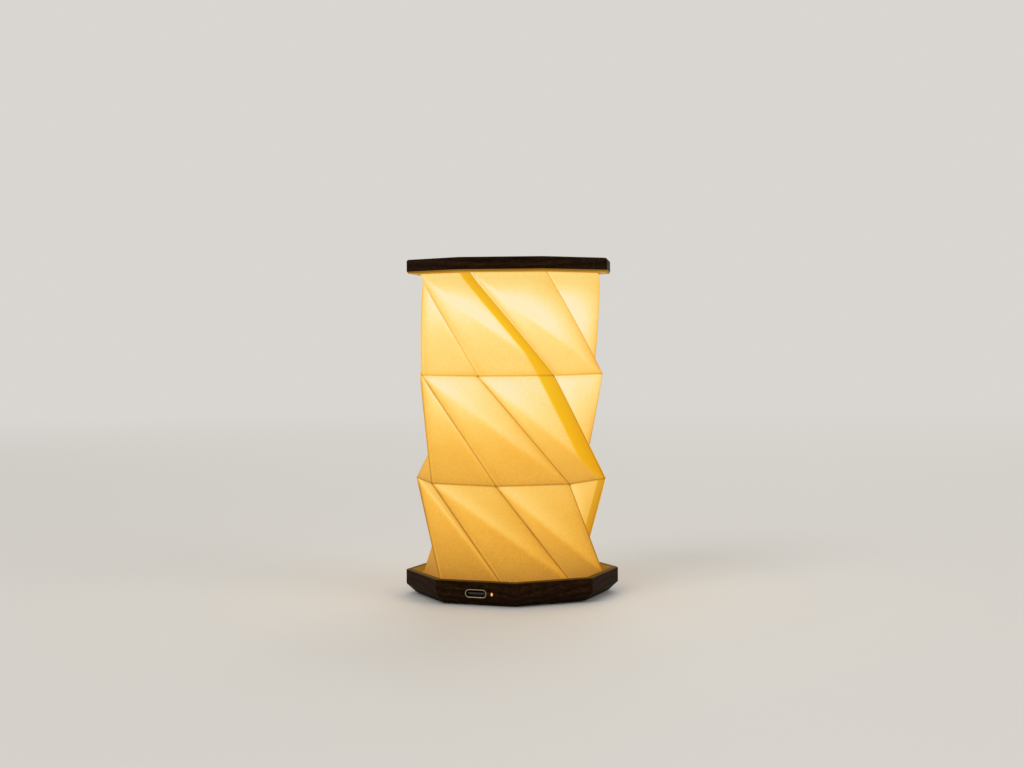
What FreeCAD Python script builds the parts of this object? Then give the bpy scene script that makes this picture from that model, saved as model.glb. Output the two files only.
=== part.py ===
import FreeCAD, Part
import math
import os

from FreeCAD import Placement, Rotation, Vector

# A pleated paper table lamp: a bellows of folded paper between two eight-sided
# walnut plates. It twists as it folds flat, and shuts on magnets.
# Millimetres and degrees, +Z up. The origin is the middle of the face that the
# lamp stands on. Turns are counter-clockwise seen from above, from the front, -Y.

# ---- driving dimensions ----------------------------------------------------
sides = 8
plate_flats = 80.0            # across the flats of both walnut plates
plate_corner = 1.0            # round on the upright corners of both plates
base_turn = 1.4               # turn of the base's corner next to the front
closing_twist = 105.8         # turn of the top plate on its way down
closed_gap = 0.3              # air between rim and top plate when shut

foot_proud = 0.6              # rubber feet below the base
base_height = 10.0            # standing face to rim, feet included
base_chamfer_in = 3.6         # bevel under the base, inwards
base_chamfer_up = 3.5         # and upwards
rim_wall = 2.4                # wall round the folding recess
rim_bevel_in = 0.4            # bevel on the outer edge of the rim
rim_bevel_down = 0.3
recess_depth = 2.3            # room for the folded paper
floor_thickness = 0.8         # card floor of the recess
cover_thickness = 1.8
pocket_flats = 62.0           # battery pocket in the base
cover_seat = 2.0              # ledge that the bottom cover sits on

lamp_top_thickness = 5.5
top_round = 0.9               # round on the upper edge of the top plate
top_bevel = 0.7               # bevel on its lower edge
ceiling_flats = 72.0          # card ceiling let into the top plate
ceiling_thickness = 0.8
light_pocket_depth = 3.7      # pocket for the light board, from the underside

# paper bellows: rings of creases from the head down, sharp creases join like corners
sheet_thickness = 0.3
sheet_clearance = 0.3         # glue line that holds the sheet off both cards
head_turn = 21.1              # turn of a corner of the head ring
head_radius = 39.0
upper_ring_height = 89.3
upper_ring_radius = 39.25
lower_ring_height = 46.7
lower_ring_radius = 38.9
foot_radius = 37.0
open_height = 119.9           # rim to the underside of the top plate
upper_story_twist = 50.4
middle_story_twist = 55.3
lower_story_twist = 46.4
flap_width = 5.0              # glue flaps at head and foot
flap_mitre = 3.2
lap_width = 6.6               # glued lap of the upright seam, along the ring creases
seam_corner = 1               # corner of the head ring where the seam starts

# closing magnets, in both plates
magnet_diameter = 4.0
magnet_thickness = 2.0
magnet_fit = 0.1              # play of a magnet in its pocket
magnet_margin = 0.8           # card beyond a magnet's pocket, at the corners

# cap screws of the bottom cover, and the bosses that they go into
screw_shank_diameter = 1.6
screw_head_diameter = 3.0
screw_head_height = 0.9
screw_length = 4.2
hex_width = 1.3               # hexagon socket of a screw
hex_depth = 0.6
boss_diameter = 7.0
boss_ring_radius = 30.5

foot_diameter = 9.0
foot_thickness = 1.2
foot_ring_radius = 26.9
card_fit = 0.2                # play round the cards and the cover

# charging socket and control board, seen from the face that carries the socket
socket_height = 5.1           # middle of the socket above the table
socket_width = 8.94
socket_tall = 3.26
socket_wall = 0.3
socket_length = 7.35
socket_set_back = 0.3         # socket mouth behind the wooden face
socket_fit = 0.15
tongue_width = 6.7
tongue_tall = 0.7
tongue_set_back = 0.8
tongue_block = 2.0
wood_skin = 2.2               # wood left in front of the board
board_thickness = 0.8
board_width = 24.0
board_depth = 17.5
board_gap = 0.8               # board to pocket wall
nose_left = 6.2               # narrow front of the board that carries the socket
nose_right = 8.6
nose_fit = 0.5
pipe_offset = 6.8             # indicator light, right of the socket
pipe_diameter = 1.6
pipe_set_back = 0.05          # end of the pipe behind the wooden face
pipe_lift = 0.1               # air between its flange and the board
pipe_flange = 2.2
pipe_flange_thickness = 0.7
indicator_width = 1.6
indicator_depth = 1.0
indicator_height = 0.8
chip_width = 5.0
chip_height = 0.9
coil_width = 4.0
coil_height = 2.0
sensor_width = 2.9
sensor_depth = 1.6
sensor_height = 1.1
lead_socket_width = 4.5
lead_socket_depth = 3.4
lead_socket_height = 1.4
rib_length = 12.0             # ribs of the cover that the board lies on
rib_width = 2.0
battery_width = 30.0
battery_length = 33.0
battery_thickness = 3.8
battery_gap = 2.5             # board to battery
battery_corner = 2.0
lead_hole_diameter = 3.2      # way of the inner lead through a card
lead_hole_ring_radius = 25.6
grommet_flange = 0.9
grommet_lip = 0.5

# light unit in the top plate
light_board_flats = 56.0
light_board_thickness = 1.0
light_board_fit = 0.6         # play round it in its pocket
led_count = 12
led_ring_radius = 15.0
led_width = 2.8
led_length = 3.5
led_height = 0.7
diffuser_radius = 20.0
diffuser_flange = 2.2
diffuser_flange_thickness = 0.5
diffuser_fit = 0.1

# ---- sizes worked out from them --------------------------------------------
corner_step = 360.0 / sides
half_step = corner_step / 2
top_turn = base_turn + closing_twist
face_turn = base_turn - half_step
tray_bottom = foot_proud
cover_top = tray_bottom + cover_thickness
floor_top = base_height - recess_depth
floor_bottom = floor_top - floor_thickness
recess_flats = plate_flats - 2 * rim_wall
cover_flats = pocket_flats + 2 * cover_seat
magnet_reach = magnet_diameter / 2 + magnet_fit + magnet_margin
magnet_radius = (ceiling_flats / 2 - magnet_reach) / math.cos(math.radians(half_step))
ceiling_bottom = base_height + open_height
ceiling_top = ceiling_bottom + ceiling_thickness
lamp_height = ceiling_bottom + lamp_top_thickness
light_pocket_top = ceiling_bottom + light_pocket_depth
light_board_bottom = light_pocket_top - light_board_thickness
slide_travel = open_height - closed_gap
far = 2 * plate_flats

os.makedirs("parts", exist_ok=True)


def save(name, shape):
    shape.exportStep("parts/%s.step" % name)
    solids = len(shape.Solids)
    print("%-22s %2d solid(s) %9.1f mm3 valid %s" % (name, solids, shape.Volume, shape.isValid()))


def polar(radius, turn, height=0.0):
    angle = math.radians(turn)
    return Vector(radius * math.sin(angle), -radius * math.cos(angle), height)


def turned(shape, turn):
    return shape.rotated(Vector(0, 0, 0), Vector(0, 0, 1), turn)


def box(size_x, size_y, size_z, middle_x, middle_y, bottom):
    corner = Vector(middle_x - size_x / 2, middle_y - size_y / 2, bottom)
    return Part.makeBox(size_x, size_y, size_z, corner)


def octagon(flats, turn, height, corner=0.0):
    """Outline with a corner at turn, its corners rounded where corner is above 0."""
    reach = flats / 2 / math.cos(math.radians(half_step))
    points = [polar(reach, turn + i * corner_step, height) for i in range(sides)]
    if corner == 0:
        return Part.makePolygon(points + points[:1])
    trim = corner * math.tan(math.radians(half_step))
    bulge = reach - corner * (1 / math.cos(math.radians(half_step)) - 1)
    edges = []
    for i in range(sides):
        here, after = points[i], points[(i + 1) % sides]
        along = (after - here).normalize() * trim
        back = (points[i - 1] - here).normalize() * trim
        middle = polar(bulge, turn + i * corner_step, height)
        edges.append(Part.Arc(here + back, middle, here + along).toShape())
        edges.append(Part.LineSegment(here + along, after - along).toShape())
    return Part.Wire(edges)


def plate(flats, turn, bottom, thickness, corner=0.0):
    face = Part.Face(octagon(flats, turn, bottom, corner))
    return face.extrude(Vector(0, 0, thickness))


def taper(low_flats, high_flats, turn, bottom, thickness, corner):
    low = octagon(low_flats, turn, bottom, corner)
    high = octagon(high_flats, turn, bottom + thickness, corner)
    return Part.makeLoft([low, high], True, True)


def disc(radius, bottom, thickness, middle=Vector(0, 0, 0)):
    return Part.makeCylinder(radius, thickness, middle + Vector(0, 0, bottom))


def ring_of(shape, turns):
    return Part.makeCompound([turned(shape, turn) for turn in turns])


def stadium(width, tall, length, front):
    """Rod of the rounded socket section, running back from y = front."""
    radius = tall / 2
    reach = width / 2 - radius
    up = Vector(0, 0, radius)
    left, right = Vector(-reach, front, socket_height), Vector(reach, front, socket_height)
    edges = [
        Part.LineSegment(left + up, right + up).toShape(),
        Part.Arc(right + up, right + Vector(radius, 0, 0), right - up).toShape(),
        Part.LineSegment(right - up, left - up).toShape(),
        Part.Arc(left - up, left - Vector(radius, 0, 0), left + up).toShape(),
    ]
    return Part.Face(Part.Wire(edges)).extrude(Vector(0, length, 0))


magnet_turns = [i * 90.0 for i in range(4)]

# ---- base tray: walnut, milled from both sides ------------------------------
chamfer_flats = plate_flats - 2 * base_chamfer_in
shank_start = tray_bottom + base_chamfer_up
tray = taper(chamfer_flats, plate_flats, base_turn, tray_bottom, base_chamfer_up, plate_corner)
wall_top = base_height - rim_bevel_down
tray = tray.fuse(plate(plate_flats, base_turn, shank_start, wall_top - shank_start, plate_corner))
rim_flats = plate_flats - 2 * rim_bevel_in
tray = tray.fuse(taper(plate_flats, rim_flats, base_turn, wall_top, rim_bevel_down, plate_corner))
tray = tray.cut(plate(recess_flats, base_turn, floor_bottom, far))
tray = tray.cut(plate(cover_flats + 2 * card_fit, base_turn, -far, far + cover_top))
pocket = plate(pocket_flats, base_turn, tray_bottom, far)

# four bosses stand in the pocket for the cover's screws
boss_turns = [-1.5 * corner_step, 1.5 * corner_step, -3.5 * corner_step, 3.5 * corner_step]
boss_turns = [face_turn + turn for turn in boss_turns]
boss_height = floor_bottom - cover_top
boss = disc(boss_diameter / 2, cover_top, boss_height, polar(boss_ring_radius, 0))
pocket = pocket.cut(ring_of(boss, boss_turns))
tray = tray.cut(pocket)
screw_place = polar(boss_ring_radius, 0)
screw = disc(screw_head_diameter / 2, tray_bottom, screw_head_height, screw_place)
screw = screw.fuse(disc(screw_shank_diameter / 2, tray_bottom, screw_length, screw_place))
tray = tray.cut(ring_of(screw, boss_turns))

magnet_hole = disc(magnet_diameter / 2 + magnet_fit, floor_bottom - magnet_thickness, far,
                   polar(magnet_radius, 0))
tray = tray.cut(ring_of(magnet_hole, [base_turn + turn for turn in magnet_turns]).common(
    disc(far, floor_bottom - magnet_thickness, magnet_thickness)))

# notch behind the wooden skin, socket slot and bore for the indicator light
face_y = -plate_flats / 2
skin_y = face_y + wood_skin
pocket_y = -pocket_flats / 2
nose_middle = (nose_right - nose_left) / 2
nose_width = nose_left + nose_right
notch_length = pocket_y - skin_y + board_gap
notch = box(nose_width + 2 * nose_fit, notch_length, boss_height, nose_middle,
            skin_y + notch_length / 2, cover_top)
slot = stadium(socket_width + 2 * socket_fit, socket_tall + 2 * socket_fit, far, -far)
slot = slot.common(box(far, far, far, 0, skin_y - far / 2, 0))
pipe_bore = Part.makeCylinder(pipe_diameter / 2, 2 * wood_skin,
                              Vector(pipe_offset, face_y - wood_skin / 2, socket_height),
                              Vector(0, 1, 0))
for cutter in (notch, slot, pipe_bore):
    tray = tray.cut(turned(cutter, face_turn))
save("base_tray", tray.removeSplitter())

# ---- bottom cover, its screws and feet ----------------------------------------
board_bottom = socket_height - socket_tall / 2 - board_thickness
cover = plate(cover_flats, base_turn, tray_bottom, cover_thickness)
rib_height = board_bottom - cover_top
board_front = pocket_y + board_gap
rib = box(rib_length, rib_width, rib_height, 0, 0, cover_top)
for share in (0.25, 0.75):
    seat = rib.copy()
    seat.translate(Vector(0, board_front + board_depth * share, 0))
    cover = cover.fuse(turned(seat, face_turn))
cover = cover.cut(ring_of(screw, boss_turns))
foot_turns = [face_turn + corner_step * (2 * i + 1) for i in range(4)]
foot_seat = disc(foot_diameter / 2, tray_bottom, foot_thickness - foot_proud,
                 polar(foot_ring_radius, 0))
cover = cover.cut(ring_of(foot_seat, foot_turns))
save("bottom_cover", cover.removeSplitter())

hex_reach = hex_width / 2 / math.cos(math.radians(30))
hexagon = [screw_place + polar(hex_reach, i * 60.0, tray_bottom) for i in range(6)]
hex_socket = Part.Face(Part.makePolygon(hexagon + hexagon[:1])).extrude(Vector(0, 0, hex_depth))
save("cover_screws", ring_of(screw.cut(hex_socket), boss_turns))

foot = disc(foot_diameter / 2, 0, foot_thickness, polar(foot_ring_radius, 0))
save("foot_pads", ring_of(foot, foot_turns))

# ---- charging socket, control board and battery --------------------------------
mouth_y = face_y + socket_set_back
shell = stadium(socket_width, socket_tall, socket_length, mouth_y)
inner_width = socket_width - 2 * socket_wall
inner_tall = socket_tall - 2 * socket_wall
shell = shell.cut(stadium(inner_width, inner_tall, socket_length, mouth_y))
save("charging_socket_shell", turned(shell, face_turn))

block_y = mouth_y + socket_length - tongue_block
tongue = stadium(inner_width, inner_tall, tongue_block, block_y)
tongue_length = block_y - mouth_y - tongue_set_back
tongue = tongue.fuse(box(tongue_width, tongue_length, tongue_tall, 0,
                         block_y - tongue_length / 2, socket_height - tongue_tall / 2))
save("charging_socket_tongue", turned(tongue, face_turn))

board_top = board_bottom + board_thickness
nose_front = skin_y + nose_fit
board = box(board_width, board_depth, board_thickness, 0, board_front + board_depth / 2,
            board_bottom)
nose_length = board_front - nose_front
board = board.fuse(box(nose_width, nose_length, board_thickness, nose_middle,
                       nose_front + nose_length / 2, board_bottom))
save("control_board", turned(board.removeSplitter(), face_turn))


def on_board(width, depth, height, x, y):
    return turned(box(width, depth, height, x, y, board_top), face_turn)


board_middle = board_front + board_depth / 2
save("charging_chip", on_board(chip_width, chip_width, chip_height, -board_width / 4, board_middle))
save("converter_coil", on_board(coil_width, coil_width, coil_height, 0, board_middle))
sensor_y = board_front + board_depth - sensor_depth
save("closing_sensor", on_board(sensor_width, sensor_depth, sensor_height,
                                board_width / 4, sensor_y))
save("board_lead_socket", on_board(lead_socket_width, lead_socket_depth, lead_socket_height,
                                   board_width / 3, board_middle - lead_socket_depth))

indicator_y = skin_y + pipe_flange_thickness + indicator_depth / 2 + nose_fit
save("indicator_led", on_board(indicator_width, indicator_depth, indicator_height,
                               pipe_offset, indicator_y))
pipe_front = face_y + pipe_set_back
pipe = Part.makeCylinder(pipe_diameter / 2, wood_skin - pipe_set_back,
                         Vector(pipe_offset, pipe_front, socket_height), Vector(0, 1, 0))
flange_bottom = board_top + pipe_lift
flange_height = socket_height + pipe_flange / 2 - flange_bottom
pipe = pipe.fuse(box(pipe_flange, pipe_flange_thickness, flange_height, pipe_offset,
                     skin_y + pipe_flange_thickness / 2, flange_bottom))
save("indicator_light_pipe", turned(pipe, face_turn))

battery_front = board_front + board_depth + battery_gap
battery = box(battery_width, battery_length, battery_thickness, 0,
              battery_front + battery_length / 2, cover_top)
upright = [edge for edge in battery.Edges if edge.BoundBox.ZLength > battery_thickness / 2]
battery = battery.makeFillet(battery_corner, upright)
save("battery", turned(battery, face_turn))

# ---- closing magnets ------------------------------------------------------------
base_magnet = disc(magnet_diameter / 2, floor_bottom - magnet_thickness, magnet_thickness,
                   polar(magnet_radius, 0))
save("base_magnets", ring_of(base_magnet, [base_turn + turn for turn in magnet_turns]))
top_magnet = disc(magnet_diameter / 2, ceiling_top, magnet_thickness, polar(magnet_radius, 0))
save("top_magnets", ring_of(top_magnet, [top_turn + turn for turn in magnet_turns]))

# ---- card floor of the recess, with the way for the inner lead -----------------------
lead_place = polar(lead_hole_ring_radius, face_turn + 2.5 * corner_step)
floor = plate(recess_flats - 2 * card_fit, base_turn, floor_bottom, floor_thickness)
grommet_radius = lead_hole_diameter / 2 + grommet_flange
floor = floor.cut(disc(grommet_radius, floor_bottom, floor_thickness, lead_place))
save("recess_floor", floor)
grommet = disc(grommet_radius, floor_bottom, floor_thickness + grommet_lip, lead_place)
grommet = grommet.cut(disc(lead_hole_diameter / 2, floor_bottom, far, lead_place))
save("lead_grommet", grommet)

# ---- walnut top plate --------------------------------------------------------------
top = plate(plate_flats, top_turn, ceiling_bottom, lamp_top_thickness, plate_corner)
upper_edges = [edge for edge in top.Edges if edge.BoundBox.ZMin > lamp_height - 0.01]
top = top.makeFillet(top_round, upper_edges)
lower_edges = [edge for edge in top.Edges if edge.BoundBox.ZMax < ceiling_bottom + 0.01]
top = top.makeChamfer(top_bevel, lower_edges)
ceiling_seat = plate(ceiling_flats + 2 * card_fit, top_turn, ceiling_bottom, ceiling_thickness)
top = top.cut(ceiling_seat)
light_pocket_flats = light_board_flats + 2 * light_board_fit
top = top.cut(plate(light_pocket_flats, top_turn, ceiling_bottom, light_pocket_depth))
top_magnet_hole = disc(magnet_diameter / 2 + magnet_fit, ceiling_top, magnet_thickness,
                       polar(magnet_radius, 0))
top = top.cut(ring_of(top_magnet_hole, [top_turn + turn for turn in magnet_turns]))
save("top_plate", top)

# ---- card ceiling, glued into its seat, and the light unit above it ---------------------
ceiling = plate(ceiling_flats, top_turn, ceiling_bottom, ceiling_thickness)
ceiling = ceiling.cut(disc(diffuser_radius + diffuser_fit, ceiling_bottom, ceiling_thickness))
top_lead_place = polar(lead_hole_ring_radius, top_turn + half_step)
ceiling = ceiling.cut(disc(lead_hole_diameter / 2, ceiling_bottom, ceiling_thickness, top_lead_place))
save("shade_ceiling", ceiling)

diffuser = disc(diffuser_radius, ceiling_bottom, ceiling_thickness)
diffuser = diffuser.fuse(disc(diffuser_radius + diffuser_flange, ceiling_top,
                              diffuser_flange_thickness))
save("light_diffuser", diffuser.removeSplitter())
save("light_board", plate(light_board_flats, top_turn, light_board_bottom, light_board_thickness))
led = box(led_width, led_length, led_height, 0, -led_ring_radius, light_board_bottom - led_height)
save("light_emitters", ring_of(led, [i * 360.0 / led_count for i in range(led_count)]))
lead_socket = box(lead_socket_width, lead_socket_depth, lead_socket_height, 0,
                  -light_board_flats / 2 + lead_socket_depth,
                  light_board_bottom - lead_socket_height)
save("light_lead_socket", turned(lead_socket, top_turn - half_step))

# ---- paper bellows: one creased sheet, closed by a glued lap ----------------------------
# Four rings of corners; a sharp crease joins corner i of each ring to corner i of the
# next one down, and the soft valley fold of a panel runs to corner i + 1.
head_height = ceiling_bottom - sheet_clearance
foot_height = floor_top + sheet_clearance
ring_heights = [head_height, upper_ring_height, lower_ring_height, foot_height]
ring_radii = [head_radius, upper_ring_radius, lower_ring_radius, foot_radius]
ring_turns = [head_turn - 2 * corner_step]
for twist in (upper_story_twist, middle_story_twist, lower_story_twist):
    ring_turns.append(ring_turns[-1] + twist)


last_ring = len(ring_heights) - 1


def crease(ring, corner):
    """A corner of a crease ring."""
    return ("crease", ring, corner % sides)


def lap_mark(first, second):
    """Where the edge of the lap crosses the crease from first to second."""
    return ("lap", first, second)


def flap_end(ring, corner, share):
    """A free corner of the flap between corner and the next one."""
    return ("flap", ring, corner, share)


def place(point, depth):
    """Position of a point of the sheet, depth in from the outer face of the paper."""
    kind, first, second = point[:3]
    if kind == "lap":
        return place(first, depth) * (1 - lap_share) + place(second, depth) * lap_share
    fold_in = {0: -depth, last_ring: depth}.get(first, 0.0)
    height = ring_heights[first] + fold_in
    turn = ring_turns[first] + second * corner_step
    if kind == "crease":
        return polar(ring_radii[first] - depth, turn, height)
    start = polar(ring_radii[first], turn, height)
    end = polar(ring_radii[first], turn + corner_step, height)
    inward = Vector(-(start + end).x, -(start + end).y, 0).normalize() * flap_width
    mitre = (end - start).normalize() * flap_mitre
    if point[3] == 0:
        return start + inward + mitre
    return end + inward - mitre


def paper_solid(single, double):
    """Closed solid of the sheet, from its single and its double triangles."""
    faces = []
    depth_of = {}

    def add_face(points):
        faces.append(Part.Face(Part.makePolygon(points + points[:1])))

    for triangles, inner in ((single, sheet_thickness), (double, 2 * sheet_thickness)):
        for triangle in triangles:
            add_face([place(point, 0) for point in triangle])
            add_face([place(point, inner) for point in triangle])
            for start, end in zip(triangle, triangle[1:] + triangle[:1]):
                depth_of[(start, end)] = inner
    for (start, end), inner in depth_of.items():
        # a free edge is closed from the outer face, the lap's edge from the single sheet
        other = depth_of.get((end, start), 0.0)
        if other < inner:
            near = [place(start, other), place(end, other)]
            deep = [place(start, inner), place(end, inner)]
            add_face([near[0], near[1], deep[1]])
            add_face([near[0], deep[1], deep[0]])
    solid = Part.Solid(Part.makeShell(faces))
    if solid.Volume < 0:
        solid.reverse()
    return solid


ring_crease = 2 * upper_ring_radius * math.sin(math.radians(half_step))
lap_share = lap_width / ring_crease
single = []
double = []
for story in range(last_ring):
    for i in range(sides):
        high, next_high = crease(story, i), crease(story, i + 1)
        low, next_low = crease(story + 1, i), crease(story + 1, i + 1)
        if (i + 1) % sides != seam_corner:
            single += [[high, low, next_low], [high, next_low, next_high]]
            continue
        # the lap lies inside the panel before the seam, along its sharp crease
        lap_high = lap_mark(next_high, high)
        lap_fold = lap_mark(next_low, high)
        lap_low = lap_mark(next_low, low)
        single += [[high, lap_fold, lap_high], [high, low, lap_low], [high, lap_low, lap_fold]]
        double += [[lap_fold, next_low, next_high], [lap_fold, next_high, lap_high]]
        double += [[lap_low, next_low, lap_fold]]

# glue flaps, folded in along the head ring and the foot ring
for ring in (0, last_ring):
    for i in range(sides):
        outline = [crease(ring, i), flap_end(ring, i, 0), flap_end(ring, i, 1), crease(ring, i + 1)]
        if (i + 1) % sides == seam_corner:
            outline.append(lap_mark(crease(ring, i + 1), crease(ring, i)))
        fan = [[outline[1], outline[k], outline[(k + 1) % len(outline)]]
               for k in range(2, len(outline))]
        if ring == 0:
            fan = [triangle[::-1] for triangle in fan]
        single += fan
save("pleated_shade", paper_solid(single, double))

print("lamp height %.1f, slide travel %.1f" % (lamp_height, slide_travel))
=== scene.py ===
import math

import bpy
import numpy as np
from mathutils import Matrix, Vector, noise


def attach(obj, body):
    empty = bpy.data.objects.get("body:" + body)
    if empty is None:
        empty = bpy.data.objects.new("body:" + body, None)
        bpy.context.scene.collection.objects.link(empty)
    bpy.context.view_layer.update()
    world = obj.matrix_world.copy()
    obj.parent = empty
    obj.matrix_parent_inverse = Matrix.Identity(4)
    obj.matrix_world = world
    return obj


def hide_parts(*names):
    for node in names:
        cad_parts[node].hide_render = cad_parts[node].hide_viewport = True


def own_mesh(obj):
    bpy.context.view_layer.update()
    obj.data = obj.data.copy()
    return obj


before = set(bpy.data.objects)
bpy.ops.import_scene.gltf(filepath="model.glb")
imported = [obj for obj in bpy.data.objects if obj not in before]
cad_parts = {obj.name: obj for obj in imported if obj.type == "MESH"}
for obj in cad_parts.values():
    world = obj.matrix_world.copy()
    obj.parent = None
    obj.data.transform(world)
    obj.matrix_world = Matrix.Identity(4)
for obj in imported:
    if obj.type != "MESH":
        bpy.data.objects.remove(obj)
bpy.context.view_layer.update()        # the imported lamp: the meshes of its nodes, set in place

# ---- base tray -----------------------------------------------------------------
# The eight-sided tray that the lamp stands on and folds away into. It is milled
# from one piece of walnut, bevelled underneath, smoked almost black, sanded and
# oiled. Its grain runs from side to side.


def linear(colour):
    """The linear colour of an sRGB hex value."""
    channels = [int(colour[i:i + 2], 16) / 255 for i in (1, 3, 5)]
    return [c / 12.92 if c <= 0.04045 else ((c + 0.055) / 1.055) ** 2.4 for c in channels] + [1.0]


def put(material, kind, inputs=None, stops=None, **settings):
    """Add a node to a material. An input takes a plain value, a node or a socket."""
    tree = material.node_tree
    node = tree.nodes.new("ShaderNode" + kind)
    for name, value in settings.items():
        setattr(node, name, value)
    for name, value in (inputs or {}).items():
        usable = [s for s in node.inputs if s.name == name and not s.is_unavailable]
        socket = usable[0] if usable else node.inputs[name]
        if isinstance(value, bpy.types.Node):
            value = next(s for s in value.outputs if not s.is_unavailable)
        if isinstance(value, bpy.types.NodeSocket):
            tree.links.new(value, socket)
        else:
            socket.default_value = value
    if stops:
        ramp = node.color_ramp.elements
        while len(ramp) < len(stops):
            ramp.new(1.0)
        for element, (position, colour) in zip(ramp, stops):
            element.position = position
            element.color = linear(colour) if isinstance(colour, str) else [colour] * 3 + [1.0]
    return node


def material_of(name):
    """An empty material of nodes."""
    material = bpy.data.materials.new(name)
    material.use_nodes = True
    material.node_tree.nodes.clear()
    return material


def dress(material, *nodes):
    """Give CAD nodes their material."""
    for name in nodes:
        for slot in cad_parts[name].material_slots:
            slot.link = "OBJECT"
            slot.material = material


# Walnut, smoked and oiled: near-black brown, with fine straight lines of growth,
# short dark pores along the grain, and a dull satin shine.
walnut = material_of("oiled_smoked_walnut")
place = put(walnut, "TexCoord").outputs["Object"]
log = put(walnut, "Mapping", {"Vector": place, "Location": (0.0, 0.012, 0.05),
                              "Rotation": (0.0, math.radians(2.5), math.radians(4)),
                              "Scale": (0.12, 1.0, 1.0)})
ring_band = 0.0030            # growth rings, 3 mm
rings = put(walnut, "TexWave", {"Vector": log, "Scale": math.tau / 20 / ring_band, "Distortion": 5.0,
                                "Detail": 3.0, "Detail Scale": 70.0},
            wave_type="RINGS", rings_direction="X")
pore_width, pore_length = 0.0004, 0.006    # pores are 0.2 mm wide, drawn 0.4 mm to show
along = put(walnut, "Mapping", {"Vector": place, "Scale": (1 / pore_length, 1 / pore_width,
                                                           1 / pore_width)})
pores = put(walnut, "TexNoise", {"Vector": along, "Scale": 1.0, "Detail": 3.0, "Roughness": 0.6})
streak_width, streak_length = 0.0009, 0.04
streaks = put(walnut, "Mapping", {"Vector": place, "Scale": (1 / streak_length, 1 / streak_width,
                                                             1 / streak_width)})
streaks = put(walnut, "TexNoise", {"Vector": streaks, "Scale": 1.0, "Detail": 4.0})
band = put(walnut, "Mix", {"Factor": 0.75, "A": rings.outputs["Fac"], "B": streaks.outputs["Fac"]})
wood = put(walnut, "ValToRGB", {"Fac": band}, stops=[(0.30, "#1a0f06"), (0.48, "#24150a"),
                                                      (0.62, "#2f1d0e"), (0.80, "#3c2613")])
pits = put(walnut, "ValToRGB", {"Fac": pores.outputs["Fac"]}, stops=[(0.36, 0.45), (0.5, 1.0)])
wood = put(walnut, "Mix", {"Factor": 1.0, "A": wood, "B": pits.outputs["Color"]},
           data_type="RGBA", blend_type="MULTIPLY")
shine = put(walnut, "MapRange", {"Value": pores.outputs["Fac"], "To Min": 0.6, "To Max": 0.42})

# What faces the lit paper from a few millimetres away gets a painted golden glow, in
# emission: the underside of the top plate, the wall of the recess and, less so, the top
# of the rim. The wall of the recess also gets a lighter base colour, which is painted light too.
half_way_up = 0.05
facing = put(walnut, "TexCoord").outputs["Normal"]
out = put(walnut, "VectorMath", {0: place, 1: (1.0, 1.0, 0.0)}, operation="MULTIPLY")
inward = put(walnut, "VectorMath", {0: facing, 1: out}, operation="DOT_PRODUCT").outputs["Value"]
inner_wall = put(walnut, "Math", {0: inward, 1: -0.02}, operation="LESS_THAN")
# Lighter wood on the wall of the recess: painted light from the paper.
painted_glow_wall_tone = put(walnut, "ValToRGB", {"Fac": band}, stops=[(0.3, "#4a3512"), (0.8, "#66491c")])
wood = put(walnut, "Mix", {"Factor": inner_wall, "A": wood, "B": painted_glow_wall_tone}, data_type="RGBA")
height = put(walnut, "SeparateXYZ", {"Vector": place}).outputs["Z"]
upright = put(walnut, "SeparateXYZ", {"Vector": facing}).outputs["Z"]
above = put(walnut, "Math", {0: height, 1: half_way_up}, operation="SUBTRACT")
upper = put(walnut, "Math", {0: above}, operation="SIGN")
level = put(walnut, "Math", {0: upper, 1: upright}, operation="MULTIPLY")
level = put(walnut, "MapRange", {"Value": level, "From Min": -0.5, "From Max": -0.9})
share = put(walnut, "MapRange", {"Value": above, "To Min": 0.16, "To Max": 0.9, "From Max": half_way_up})
level = put(walnut, "Math", {0: level, 1: share}, operation="MULTIPLY")
lit = put(walnut, "Math", {0: inner_wall, 1: 0.42}, operation="MULTIPLY")
lit = put(walnut, "Math", {0: level, 1: lit}, operation="MAXIMUM")
lit_wood = put(walnut, "Mix", {"Factor": lit, "A": linear("#000000"), "B": linear("#c9922a")},
               data_type="RGBA")
edge = put(walnut, "Bevel", {"Radius": 0.0003}, samples=4)
relief = put(walnut, "Bump", {"Height": pits.outputs["Color"], "Strength": 0.35,
                              "Distance": 0.00006, "Normal": edge})
oiled = put(walnut, "BsdfPrincipled", {"Base Color": wood, "Roughness": shine, "IOR": 1.5,
                                       "Specular IOR Level": 0.015, "Normal": relief,
                                       "Emission Color": lit_wood, "Emission Strength": 1.0})
put(walnut, "OutputMaterial", {"Surface": oiled})
dress(walnut, "base_tray")

# ---- bottom cover ----------------------------------------------------------------
# The lid of the battery pocket, moulded in black ABS with a fine spark-eroded
# texture. It lies on a ledge of the tray, held by four screws.
spark_grain = 0.0006          # texture of the mould, 0.6 mm to show
cover_plastic = material_of("spark_textured_black_abs")
place = put(cover_plastic, "TexCoord").outputs["Object"]
sparks = put(cover_plastic, "TexNoise", {"Vector": place, "Scale": 1 / spark_grain, "Detail": 2.0})
flow = put(cover_plastic, "TexNoise", {"Vector": place, "Scale": 45.0, "Detail": 2.0})
tone = put(cover_plastic, "ValToRGB", {"Fac": flow.outputs["Fac"]},
           stops=[(0.35, "#1c1c1d"), (0.7, "#262627")])
dull = put(cover_plastic, "MapRange", {"Value": sparks.outputs["Fac"], "To Min": 0.5, "To Max": 0.7})
relief = put(cover_plastic, "Bump", {"Height": sparks.outputs["Fac"], "Strength": 0.5,
                                     "Distance": 0.00005})
moulded = put(cover_plastic, "BsdfPrincipled", {"Base Color": tone, "Roughness": dull, "IOR": 1.53,
                                                "Normal": relief})
put(cover_plastic, "OutputMaterial", {"Surface": moulded})
dress(cover_plastic, "bottom_cover")

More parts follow.
